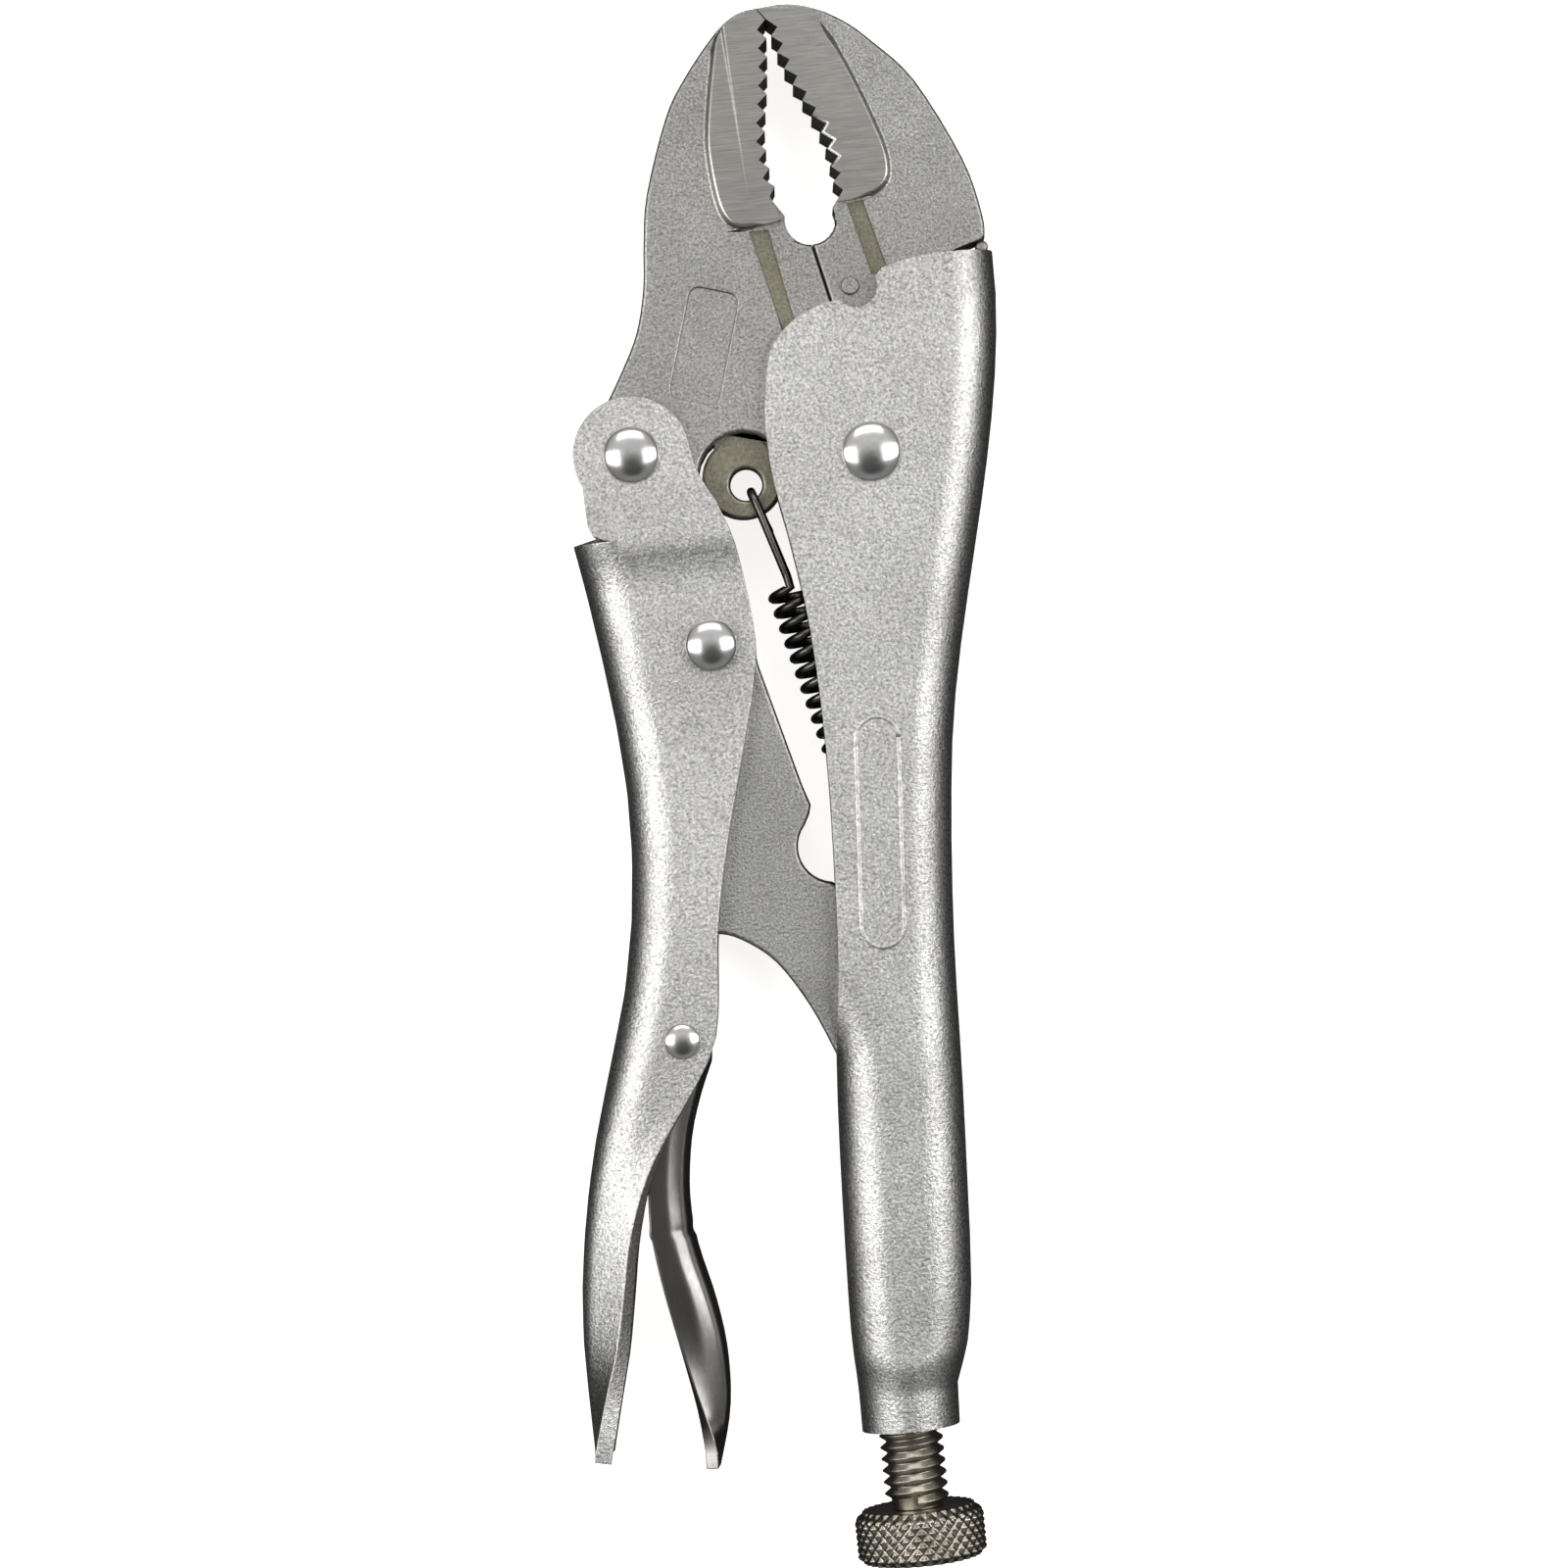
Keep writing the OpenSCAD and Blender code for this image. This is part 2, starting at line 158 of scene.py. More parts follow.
world = bpy.data.worlds.new("studio")
world.use_nodes = True
bpy.context.scene.world = world
sky = world.node_tree
direction = add(sky, "ShaderNodeTexCoord").outputs["Generated"]
axes = add(sky, "ShaderNodeSeparateXYZ", {0: direction})
beyond = add(sky, "ShaderNodeMath", {0: axes.outputs["Y"], 1: FAR_LEAN}, operation="MULTIPLY")
reach = add(sky, "ShaderNodeMath", {0: axes.outputs["Z"], 1: beyond.outputs[0]}, operation="ADD")
above = add(sky, "ShaderNodeMapRange", {"Value": reach.outputs[0], "From Min": CEILING_REACH[0],
                                        "From Max": CEILING_REACH[1], "To Min": WALLS})
upward = add(sky, "ShaderNodeMapRange", {"Value": axes.outputs["Z"], "From Min": HORIZON[0],
                                         "From Max": HORIZON[1]})
near_hood = add(sky, "ShaderNodeVectorMath", {0: direction, 1: HOOD}, operation="DOT_PRODUCT")
clear = add(sky, "ShaderNodeMapRange", {"Value": near_hood.outputs["Value"],
                                        "From Min": HOOD_RIM[0], "From Max": HOOD_RIM[1],
                                        "To Min": 1.0, "To Max": HOOD_GLOW})
lit = add(sky, "ShaderNodeMath", {0: above.outputs[0], 1: upward.outputs[0]}, operation="MULTIPLY")
share = add(sky, "ShaderNodeMath", {0: lit.outputs[0], 1: clear.outputs[0]}, operation="MULTIPLY")
tone = add(sky, "ShaderNodeMix", {0: share.outputs[0], 6: linear(SHADE_BELOW), 7: linear(CEILING)},
           data_type="RGBA")
sky.links.new(tone.outputs[2], sky.nodes["Background"].inputs["Color"])
sky.nodes["Background"].inputs["Strength"].default_value = CEILING_GLOW


# The fixed handle. One piece of 2.1 mm sheet steel is folded into a channel, its lips are
# curled into a tube lower down, and the tube's end is swaged round for the adjusting screw.
# It is shot-blasted and nickel plated.
SHEET = 2.1
FOLD = 5.5                    # outside radius of the folded corners
EDGE_BREAK = 0.35             # rounding that the blasting leaves on cut edges
TOP = 23.2                    # upper end of the handle's back
CURL_START = -60              # from here down the lips curl in
OPEN_END = -73                # and here they leave the cheeks' outline
TUBE_START = -78              # and here they meet
CLOSING = 0.8                 # share of the curl after which they come down to the seam
SWAGE_START = -108.4
SWAGE_END = -113
NEARLY_ROUND = 0.999          # of the half height, so that the swaged section keeps all its faces
SEAM = 0.06                   # half of the gap where the two lips meet
UNDER_CHEEK = 0.2             # the cheek's outline is met this far below its face
OVER_SEAM = 0.6               # and the tube's this far above the seam
TUBE_MEASURED = TUBE_START - 0.5
INSIDE = 0.05                 # the last rows stay this far inside the ends of their CAD node
CHEEK_STEPS = 12
FOLD_STEPS = 9
AFAR = 200                    # outside every piece
JOINED = 0.002                # points closer than this are one point
outline_trees = {}


def outline_x(node, y, height, side):
    """Where the outline of a CAD node stands at y, met from side -1, the left, or 1, the right"""
    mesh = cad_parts[node].data
    if node not in outline_trees:
        outline_trees[node] = BVHTree.FromPolygons([v.co for v in mesh.vertices],
                                                   [p.vertices for p in mesh.polygons])
    start = Vector((side * AFAR, y, MID + height)) * MM
    met = outline_trees[node].ray_cast(start, Vector((-side, 0, 0)))[0]
    return met.x / MM


def spline(points, steps=6):
    """A smooth curve through points of two or three numbers"""
    found = []
    for i in range(len(points) - 1):
        a, b, c, d = (Vector(points[min(max(i + k, 0), len(points) - 1)]) for k in (-1, 0, 1, 2))
        for k in range(steps):
            t = k / steps
            found.append((2 * b + (c - a) * t + (2 * a - 5 * b + 4 * c - d) * t ** 2
                          + (3 * b - a - 3 * c + d) * t ** 3) / 2)
    return found + [Vector(points[-1])]


def arc(centre, radius, start, end, steps=12):
    """Points on a circle from the angle start to end, in degrees"""
    angles = [math.radians(start + (end - start) * k / steps) for k in range(steps + 1)]
    return [Vector((centre[0] + radius * math.cos(a), centre[1] + radius * math.sin(a)))
            for a in angles]


def evenly(path, steps):
    """The same path cut into equal lengths"""
    reach = [0]
    for a, b in zip(path, path[1:]):
        reach.append(reach[-1] + (b - a).length)
    found, i = [], 0
    for k in range(steps + 1):
        want = reach[-1] * k / steps
        while i < len(path) - 2 and reach[i + 1] < want:
            i += 1
        gap = max(reach[i + 1] - reach[i], 1e-9)
        found.append(path[i].lerp(path[i + 1], min(max((want - reach[i]) / gap, 0), 1)))
    return found


def blend_in(y, start, end):
    """0 at start and 1 at end, with a gentle run in and out"""
    t = min(max((y - start) / (end - start), 0), 1)
    return t * t * (3 - 2 * t)


def piece(name, faces, material, thickness=0, edge=0, angle=50, segments=2):
    """An object from faces, each a list of points in mm. Thickness turns a sheet into a plate,
    inwards, and edge rounds whatever turns more sharply than angle."""
    form = bmesh.new()
    for points in faces:
        form.faces.new([form.verts.new(Vector(p) * MM) for p in points])
    bmesh.ops.remove_doubles(form, verts=form.verts, dist=JOINED * MM)
    mesh = bpy.data.meshes.new(name)
    form.to_mesh(mesh)
    form.free()
    mesh.shade_smooth()
    mesh.materials.append(material)
    made = put(name, mesh)
    if thickness:
        plate = made.modifiers.new("sheet", "SOLIDIFY")
        plate.thickness = thickness * MM
        plate.offset = -1
        plate.use_even_offset = True
    if edge:
        rounding = made.modifiers.new("broken_edges", "BEVEL")
        rounding.width = edge * MM
        rounding.segments = segments
        rounding.limit_method = "ANGLE"
        rounding.angle_limit = math.radians(angle)
        rounding.miter_outer = "MITER_ARC"
    made.modifiers.new("flat_faces", "WEIGHTED_NORMAL")
    return made


def strip(rows):
    """Quads between rows of points that run down the piece"""
    return [[a[j], b[j], b[j + 1], a[j + 1]]
            for a, b in zip(rows, rows[1:]) for j in range(len(a) - 1)]


def both_cheeks(points):
    """The near cheek, drawn anticlockwise from above, and the far one"""
    near = [(p[0], p[1], MID + HALF) for p in points]
    far = [(p[0], p[1], MID - HALF) for p in reversed(points)]
    return [near, far]


def mirrored(half_section, y):
    """A whole section from the half above the middle, given from the lip to the middle"""
    upper = [(p[0], y, MID + p[1]) for p in half_section]
    lower = [(p[0], y, MID - p[1]) for p in reversed(half_section[:-1])]
    return upper + lower


def handle_lip_x(y):
    """The lip's outline: the cheek's edge above, and the side of the closed tube below"""
    share = min(max((OPEN_END - y) / (OPEN_END - TUBE_MEASURED), 0), 1)
    above = outline_x("fixed_handle", max(y, OPEN_END), HALF - UNDER_CHEEK, -1)
    below = outline_x("fixed_handle", min(y, TUBE_MEASURED), OVER_SEAM, -1)
    return above + (below - above) * share


def tube_section(y):
    """The fixed handle's section, from the near lip over the cheek and the fold to the far lip"""
    swage = blend_in(y, SWAGE_START, SWAGE_END)
    curl = blend_in(y, CURL_START, TUBE_START)
    back = outline_x("fixed_handle", y, 0, 1)
    lip = handle_lip_x(y)
    half = HALF * (1 - swage) + (back - lip) / 2 * swage
    fold = FOLD * (1 - swage) + half * NEARLY_ROUND * swage
    turn = max(90 * curl, 0.01)
    curl_x = lip + fold * math.sin(math.radians(turn))
    closing = (half - fold - SEAM) * blend_in(curl, CLOSING, 1)
    lip_arc = arc((curl_x, half - fold), fold, 90 + turn, 90)
    below = lip_arc[0] - Vector((0, max(closing, 0)))
    cheek = evenly([below] + lip_arc + [Vector((back - fold, half))], CHEEK_STEPS)
    corner = arc((back - fold, half - fold), fold, 90, 0, FOLD_STEPS)
    return mirrored(cheek[:-1] + corner + [Vector((back, 0))], y)


def sweep(path, radius, sides=12):
    """The faces of a round wire of radius mm along a path of points"""
    rings, across = [], Vector((0.3, 0.2, 1))
    for i, point in enumerate(path):
        along = (path[min(i + 1, len(path) - 1)] - path[max(i - 1, 0)]).normalized()
        across = (across - along * along.dot(across)).normalized()
        other = along.cross(across)
        turns = [2 * math.pi * k / sides for k in range(sides)]
        rings.append([point + radius * (across * math.cos(t) + other * math.sin(t)) for t in turns])
    closed = [ring + ring[:1] for ring in rings]
    return [list(reversed(rings[0]))] + [face[::-1] for face in strip(closed)] + [rings[-1]]


def worked_steel(name, pale, deep, rough, grain, depth, patch=16, drawn=(1, 1, 1), turn=0,
                 sparkle=0.35):
    """A steel surface. Patches some mm across drift from the pale to the deep colour, and a grain
    of the given mm stands depth mm high. drawn stretches the grain, and turn lays it at an angle."""
    made = bpy.data.materials.new(name)
    made.use_nodes = True
    tree = made.node_tree
    shader = tree.nodes["Principled BSDF"]
    place = add(tree, "ShaderNodeTexCoord").outputs["Object"]
    laid = add(tree, "ShaderNodeMapping", {"Vector": place, "Scale": drawn,
                                           "Rotation": (0, 0, math.radians(turn))}).outputs[0]
    clouds = add(tree, "ShaderNodeTexNoise", {"Vector": place, "Scale": 1 / (patch * MM),
                                              "Detail": 4.0, "Roughness": 0.6}).outputs[0]
    grit = add(tree, "ShaderNodeTexNoise", {"Vector": laid, "Scale": 1 / (grain * MM),
                                            "Detail": 3.0, "Roughness": 0.7}).outputs[0]
    drift = add(tree, "ShaderNodeMapRange", {"Value": clouds, "From Min": 0.35, "From Max": 0.65})
    fleck = add(tree, "ShaderNodeMapRange", {"Value": grit, "From Min": 0.3, "From Max": 0.7,
                                             "To Min": 1 - sparkle, "To Max": 1 + sparkle * 0.6})
    colour = add(tree, "ShaderNodeMix", {0: drift.outputs[0], 6: linear(pale), 7: linear(deep)},
                 data_type="RGBA").outputs[2]
    flecked = add(tree, "ShaderNodeVectorMath", {0: colour, "Scale": fleck.outputs[0]},
                  operation="SCALE").outputs[0]
    dull = add(tree, "ShaderNodeMapRange", {"Value": clouds, "From Min": 0.3, "From Max": 0.7,
                                            "To Min": rough * 0.88, "To Max": rough * 1.12})
    relief = add(tree, "ShaderNodeBump", {"Height": grit, "Distance": depth * MM, "Strength": 1.0})
    tree.links.new(flecked, shader.inputs["Base Color"])
    tree.links.new(dull.outputs[0], shader.inputs["Roughness"])
    tree.links.new(relief.outputs[0], shader.inputs["Normal"])
    shader.inputs["Metallic"].default_value = 1.0
    return made


# Satin nickel over shot-blasted steel. The shot leaves pits about 0.1 mm across, too fine to show,
# so the grain is drawn at 0.36 mm. It scatters the light and keeps the edges from glinting.
blasted_nickel = worked_steel("blasted_nickel_plate", "DAD9D5", "C5C4C0", 0.34, 0.36, 0.09,
                              sparkle=0.6)

lip_ys = [CURL_START + k * 2.6 for k in range(24)] + [3.5]
lip_line = [Vector((outline_x("fixed_handle", y, HALF - SHEET / 2, -1), y)) for y in lip_ys]
shoulder = spline([(-12.5, 5), (-11.2, 12.6), (-8.4, 16.3), (-4.4, 18.3), (-2.1, 18.6)], 8)
boss_notch = arc((0.1, 20.1), 2.6, -145, 20)
cheek_top = [Vector((10.2, 23.2)), Vector((6.3, 22.7)), Vector((3.5, 22))]
head_ys = [TOP - INSIDE, 18, 13, 8, 3, -2, -7, -12, -18, -24, -30, -36, -42, -48, -54, CURL_START]
tube_ys = ([CURL_START - k * 1.5 for k in range(32)] + [-108 - k * 0.75 for k in range(1, 10)]
           + [-116, -117.5, handle_low.y / MM + INSIDE])
head_rows = [tube_section(y)[CHEEK_STEPS:-CHEEK_STEPS] for y in head_ys]
tube_rows = [tube_section(y) for y in tube_ys]
fold_line = [row[0][:2] for row in head_rows]
cheek = ([Vector(p[:2]) for p in tube_rows[0][:CHEEK_STEPS + 1]]
         + [Vector(p) for p in reversed(fold_line[:-1])] + cheek_top + boss_notch[::-1]
         + shoulder[::-1][1:-1] + lip_line[:0:-1])
handle_faces = both_cheeks(cheek) + strip(head_rows) + strip(tube_rows)
fixed_handle = piece("fixed_handle_sheet", handle_faces, blasted_nickel, SHEET, EDGE_BREAK)
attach(fixed_handle, "frame")
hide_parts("fixed_handle")


# A blank oblong is pressed up on both cheeks of the fixed handle, as part of the same sheet.
# Only its rim stands proud, as a low round bead.
BADGE_CENTRE = (-3.6, -46)
BADGE_HALF = (2.6, 14)
BADGE_TURN = -4
BADGE_BEAD = 0.4
BADGE_SUNK = 0.28             # depth of the bead's middle below the cheek


def badge_path(level):
    """The oblong's outline at the height level, closed"""
    turned = Matrix.Rotation(math.radians(BADGE_TURN), 2)
    width, reach = BADGE_HALF
    ends = arc((0, reach - width), width, 0, 180) + arc((0, width - reach), width, 180, 360)
    laid = [turned @ p + Vector(BADGE_CENTRE) for p in ends + ends[:1]]
    return [Vector((p.x, p.y, level)) for p in laid]


for side, name in ((1, "near_badge"), (-1, "far_badge")):
    bead = sweep(badge_path(MID + side * (HALF - BADGE_SUNK)), BADGE_BEAD)
    badge = piece(name, bead, blasted_nickel)
    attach(badge, "frame")


# The two jaws. Each is a steel forging, blasted and plated with the handles, whose gripping part
# is then ground flat on both sides and cut with teeth. The grooves and the recesses keep some oil,
# and their darker colour is partly painted shade.
GROUND_EDGE = 0.5             # rounding of the ground pads, but for their teeth
FORGED_EDGE = 0.5
RECESS_EDGE = 0.24
FOOT_EDGE = 0.5
FOOT_DEPTH = 1.5              # inner corners are rounded down to this depth, at the feet of the pads
RECESS_DEPTH = 0.6            # a wall lower than this belongs to a recess
# recess floors deeper than this take the recess colour: oil, darkened further as painted shade
OILY_SHADE_DEPTH = 0.35             # recesses deeper than this stay oily
CRISP_REACH = 2.2             # the rounding runs out this close to the mouth's corners and the tips
TINY = 0.02                   # steps smaller than this are worn away
LEVEL = 0.05                  # heights closer than this are one level
BROAD = 60                    # square mm, above which a flat face is the side of the forging
CREASE = 35                   # degrees, above which two faces meet in an edge and not in a curve
NEAR_SHARE = 0.45             # of the room beside an edge, so that two edges never meet
RECESS_SHARE = 0.8            # of a recess wall, whose foot stays sharp
NEARLY_STRAIGHT = 140         # degrees, above which one edge runs on into the next
ONE_PLANE = 0.6               # degrees, below which two faces are one
UPRIGHT = 0.99                # height of the normal of a face that lies flat
AHEAD = 0.7                   # cosine, above which an edge lies ahead and not beside


def height_of(face):
    """How far a face reaches through the thickness"""
    levels = [v.co.z / MM for v in face.verts]
    return max(levels) - min(levels)


def room_beside(edge, wall_share):
    """How wide an edge can be rounded before it meets another edge of the faces beside it"""
    a, b = (v.co for v in edge.verts)
    middle, along = (a + b) / 2, (b - a).normalized()
    room = MM
    for face in edge.link_faces:
        share = NEAR_SHARE if abs(face.normal.z) > 0.5 else wall_share
        for other in face.edges:
            c, d = (v.co for v in other.verts)
            span = d - c
            if other is edge or span.length < 1e-7:
                continue
            shared = set(edge.verts) & set(other.verts)
            if shared:
                corner = shared.pop()
                away = edge.other_vert(corner).co - corner.co
                beside = other.other_vert(corner).co - corner.co
                if away.angle(beside) < math.radians(NEARLY_STRAIGHT):
                    room = min(room, share * beside.cross(along).length)
                continue
            reach = min(max((middle - c).dot(span) / span.length_squared, 0), 1)
            off = c + span * reach - middle
            if abs(off.dot(along)) < AHEAD * off.length:
                room = min(room, share * off.length)
    return room / MM


def forging(name, node, body, materials, half_ground, tooth_line, crisp=()):
    """A CAD solid with its flat faces made whole and its edges rounded as forging, grinding and
    cutting leave them. tooth_line says whether a place is on the teeth, and the edges within
    CRISP_REACH of the crisp spots stay sharp. The materials are for the forged surface, the
    ground faces and the recesses."""
    form = bmesh.new()
    form.from_mesh(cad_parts[node].data)
    bmesh.ops.remove_doubles(form, verts=form.verts, dist=TINY * MM)
    bmesh.ops.dissolve_limit(form, angle_limit=math.radians(ONE_PLANE), verts=form.verts,
                             edges=form.edges)
    weights = form.edges.layers.float.new("bevel_weight_edge")
    for edge in form.edges:
        if len(edge.link_faces) != 2 or edge.calc_face_angle() < math.radians(CREASE):
            continue
        edge.smooth = False
        a, b = (v.co / MM for v in edge.verts)
        if abs(a.z - b.z) > 0.01:
            continue
        place = (a + b) / 2
        shallow = any(height_of(f) < RECESS_DEPTH for f in edge.link_faces if abs(f.normal.z) < 0.5)
        if abs(place.z - MID) > half_ground - LEVEL:
            width = 0 if tooth_line(place) else GROUND_EDGE
        elif shallow:
            width = RECESS_EDGE if edge.is_convex else 0
        elif tooth_line(place):
            width = 0
        elif edge.is_convex:
            width = FORGED_EDGE
        else:
            width = FOOT_EDGE if abs(place.z - MID) > half_ground - FOOT_DEPTH else 0
        if any((end.xy - Vector(spot)).length < CRISP_REACH for spot in crisp for end in (a, b)):
            width = 0
        edge[weights] = min(width, room_beside(edge, RECESS_SHARE if shallow else NEAR_SHARE))
        edge.smooth = edge[weights] > 0
    levels = {f: abs(f.calc_center_median().z / MM - MID) for f in form.faces}
    side_level = max(levels[f] for f in form.faces
                     if abs(f.normal.z) > UPRIGHT and f.calc_area() > BROAD * MM * MM
                     and levels[f] < half_ground - 2 * LEVEL)
    for face in form.faces:
        face.smooth = True
        face.material_index = 0
        if abs(face.normal.z) > UPRIGHT:
            if levels[face] > half_ground - LEVEL:
                face.material_index = 1
            # deep recess floors and low recess walls take the oil colour, darkened further as painted
            # shade
            elif levels[face] < side_level - OILY_SHADE_DEPTH:
                face.material_index = 2
        elif height_of(face) < RECESS_DEPTH:
            face.material_index = 2
    mesh = bpy.data.meshes.new(name)
    form.to_mesh(mesh)
    form.free()
    for material in materials:
        mesh.materials.append(material)
    made = put(name, mesh)
    rounding = made.modifiers.new("worked_edges", "BEVEL")
    rounding.width = MM        # and each edge's weight is its own width in mm
    rounding.segments = 3
    rounding.limit_method = "WEIGHT"
    rounding.use_clamp_overlap = False
    flat = made.modifiers.new("flat_faces", "WEIGHTED_NORMAL")
    flat.keep_sharp = True
    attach(made, body)
    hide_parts(node)
    return made


# Forged steel, blasted and plated: a little darker and closer in grain than the sheet. On the toggle
# link this darker colour is painted shade, from the handles around it
forged_nickel_and_link_shade = worked_steel("forged_nickel_plate", "B9B8B3", "A3A29D", 0.33, 0.32, 0.07,
                             sparkle=0.55)
# Ground faces: bare steel with fine parallel scratches, drawn 0.15 mm wide, that glint sideways
ground_steel = worked_steel("ground_steel", "C0BDB7", "AFACA6", 0.3, 0.9, 0.004, patch=20,
                            drawn=(0.22, 6, 1), turn=-9, sparkle=0.3)
# Plating in the recesses, browned by oil and dust that the cloth doesn't reach, and darkened further
# as painted shade, also on the recesses' low walls
oily_recess_painted_shade = worked_steel("oily_recess_painted_shade", "A09C8A", "858170", 0.42, 0.38, 0.03)

jaw_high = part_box("movable_jaw")[1]
HALF_GROUND = jaw_high.z / MM - MID
jaw_metals = (forged_nickel_and_link_shade, ground_steel, oily_recess_painted_shade)
TOOTH_END = 30.6
MOVABLE_PAD_X = -10.6         # the movable jaw's teeth lie to the right of this
FIXED_PAD_TIP = (-5.6, 53.5)  # the fixed jaw's lie to the left of a slanting line from here
FIXED_PAD_SLANT = 0.253
MOVABLE_CRISP = [(-7.9, 29.3), (-8.6, 54.8), (-11.5, 54.2)]
FIXED_CRISP = [(0, 30.6), (-8.4, 54.8), (-5.5, 54.8), (-2, 54.2)]


def on_movable_teeth(place):
    """Whether a place on the movable jaw is among its teeth"""
    return place.y > TOOTH_END and place.x > MOVABLE_PAD_X


def on_fixed_teeth(place):
    """Whether a place on the fixed jaw is among its teeth"""
    pad_side = FIXED_PAD_TIP[0] + (FIXED_PAD_TIP[1] - place.y) * FIXED_PAD_SLANT
    return place.y > TOOTH_END and place.x < pad_side


forging("movable_jaw_forging", "movable_jaw", "jaw", jaw_metals, HALF_GROUND,
        on_movable_teeth, MOVABLE_CRISP)
forging("fixed_jaw_forging", "fixed_jaw", "frame", jaw_metals, HALF_GROUND,
        on_fixed_teeth, FIXED_CRISP)


# The weld joins the fixed jaw to the folded back of its handle. It is a short bead of mild steel,
# plated over with the rest, with the ripples that the arc leaves.
BEAD_RADIUS = 0.75
BEAD_IN = 0.25                # room between the bead and the right side of the weld
BEAD_UP = 0.45                # height of the bead's middle over the lower side of the weld
BEAD_RINGS = 60
BEAD_TAPER = 0.55             # of the radius, at its two ends
RIPPLE = 0.07
weld_low, weld_high = (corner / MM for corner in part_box("jaw_weld"))
bead_foot = Vector((weld_high.x - BEAD_RADIUS - BEAD_IN, weld_low.y + BEAD_UP,
                    weld_low.z + BEAD_RADIUS))
bead_length = weld_high.z - weld_low.z - 2 * BEAD_RADIUS
bead_rows = []
for k in range(BEAD_RINGS + 1):
    middle = bead_foot + Vector((0, 0, bead_length * k / BEAD_RINGS))
    swell = BEAD_RADIUS + RIPPLE * abs(math.sin(k * math.pi / 6)) - RIPPLE
    swell *= BEAD_TAPER if k in (0, BEAD_RINGS) else 1
    bead_rows.append([middle + swell * Vector((math.cos(t), math.sin(t), 0))
                      for t in [2 * math.pi * i / 16 for i in range(17)]])
weld_faces = ([bead_rows[0][:-1][::-1]] + [f[::-1] for f in strip(bead_rows)]
              + [bead_rows[-1][:-1]])
# Weld metal under the plating: duller and browner than the jaw, with a coarser grain
weld_bead = worked_steel("plated_weld", "B5B3AD", "8E8B83", 0.42, 0.4, 0.04)
jaw_weld = piece("jaw_weld_bead", weld_faces, weld_bead)
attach(jaw_weld, "frame")
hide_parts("jaw_weld")


# The four rivets. Each is a solid steel pin whose two heads are set to low polished domes.
RIM = 0.35                    # straight edge of a head below its dome
AXIS = 0.01                   # radius at which a turned profile starts and ends


def turned(name, profile, centre, material, along="Z", sides=72):
    """A turned piece from (radius, distance along the axis) pairs in mm"""
    turns = [2 * math.pi * k / sides for k in range(sides + 1)]
    rings = []
    for radius, reach in profile:
        if along == "Z":
            ring = [Vector((radius * math.cos(t), radius * math.sin(t), reach)) for t in turns]
        else:
            ring = [Vector((radius * math.sin(t), reach, radius * math.cos(t))) for t in turns]
        rings.append([Vector(centre) + p for p in ring])
    return piece(name, [f[::-1] for f in strip(rings)], material)


def rivet(name, node, body, shank, sunk=0):
    """A pin with a shank of the given radius and a dome on each side. sunk lets the heads reach
    down where the cheeks step in."""
    low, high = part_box(node)
    centre = (low + high) / 2 / MM
    radius, top = (high.x - low.x) / 2 / MM, (high.z - low.z) / 2 / MM
    dome = [(radius * math.sin(a), HALF + RIM + (top - HALF - RIM) * math.cos(a))
            for a in [math.radians(7.5 * k) for k in range(1, 13)]]
    half_profile = [(AXIS, top)] + dome + [(radius, HALF - sunk), (shank, HALF - sunk), (shank, 0)]
    far_half = [(r, -reach) for r, reach in reversed(half_profile[:-1])]
    made = turned(name, (half_profile + far_half)[::-1], centre, polished_rivet)
    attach(made, body)
    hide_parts(node)


# Burnished steel: nearly a mirror, with faint marks 0.6 mm across from the riveting punch
polished_rivet = worked_steel("burnished_rivet_steel", "E2E1DE", "CFCECA", 0.19, 0.6, 0.003,
                              patch=6, sparkle=0.06)
rivet("jaw_rivet_pin", "jaw_rivet", "frame", 2.5)
rivet("lever_rivet_pin", "lever_rivet", "lever", 2.4)
rivet("link_rivet_pin", "link_rivet", "lever", 2.2, 1.15)
rivet("release_rivet_pin", "release_rivet", "lever", 1.5)


# The lever handle. It is folded from the same sheet, with its web outwards. Two bare ears hold
# the jaw, the cheeks step in a little below them, and the flanges open out towards the tail.
WEB_TOP = -7.65
STEP_IN = 1.1
STEP_IN_RUN = (WEB_TOP + 0.3, -12.6)
STEP_OUT_RUN = (-26, -62)
OPENING_RUN = (-70, -96)      # where the flanges change from square to open
LEAN_RADIUS = 3.5             # of the corner where they are open
LEVER_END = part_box("lever_handle")[0].y / MM + INSIDE
LIP_MEASURED = -106           # the lip's outline is met as far as this, and then runs to the tip
CHANNEL_STEPS = 26
EAR_RADIUS = 7.1
EAR_ARC = (22, 208)           # degrees round the lever rivet
EAR_HEEL = ((-35.2, -4), (-35.15, -5.6), (-34.6, -6.9), (-33.4, -7.5))   # notch over the web
FLUSH = 0.12                  # points this close to the cheek's level belong to the cheek


def half_channel(depth, half, sheet, fold, lean):
    """Half of a channel's section, as (distance from the web, height) from the lip to the web's
    middle. With lean at 0 the flanges are square, and at 1 they open out to fit the depth."""
    square = ([Vector((max(depth, fold + 0.01), half))]
              + arc((fold, half - fold), fold, 90, 180) + [Vector((0, 0))])
    web = half - fold
    low, high = 0.5, 89.0
    for _ in range(30):
        bend = (low + high) / 2
        sine, cosine = math.sin(math.radians(bend)), math.cos(math.radians(bend))
        radius = fold * LEAN_RADIUS / FOLD
        flange = max((half - web - radius * sine) / cosine, 0.1)
        reach = radius * (1 - cosine) + flange * sine + sheet * cosine
        low, high = (bend, high) if reach < depth else (low, bend)
    corner = arc((radius, web), radius, 180 - bend, 180)
    opened = [corner[0] + flange * Vector((sine, cosine))] + corner + [Vector((0, 0))]
    pairs = zip(evenly(square, CHANNEL_STEPS), evenly(opened, CHANNEL_STEPS))
    return [a.lerp(b, lean) for a, b in pairs]


